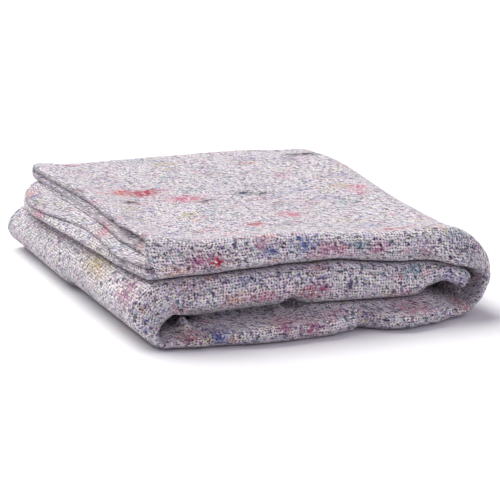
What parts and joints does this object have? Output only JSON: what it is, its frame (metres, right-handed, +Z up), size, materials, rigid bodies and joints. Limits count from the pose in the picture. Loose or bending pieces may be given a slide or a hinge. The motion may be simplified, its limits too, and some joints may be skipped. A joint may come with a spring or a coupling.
{
  "type": "folded moving blanket",
  "caption": "Stitch-bonded felt moving blanket, doubled, folded in four across its width and then in thirds into a flat, uneven pack.",
  "frame": {"origin": "middle of the pack's bounding box, on the underside it lies on", "axes": "+X to the right along the front folds, +Y from the front folds to the back, +Z up through the layers"},
  "size_m": [0.338, 0.4154, 0.0817],
  "materials": {
    "felt": "stitch-bonded recycled-fibre felt, grey-lilac with coloured flecks, matt and slightly fuzzy"
  },
  "bodies": {
    "root": {"blanket": "felt"}
  },
  "joints": []
}
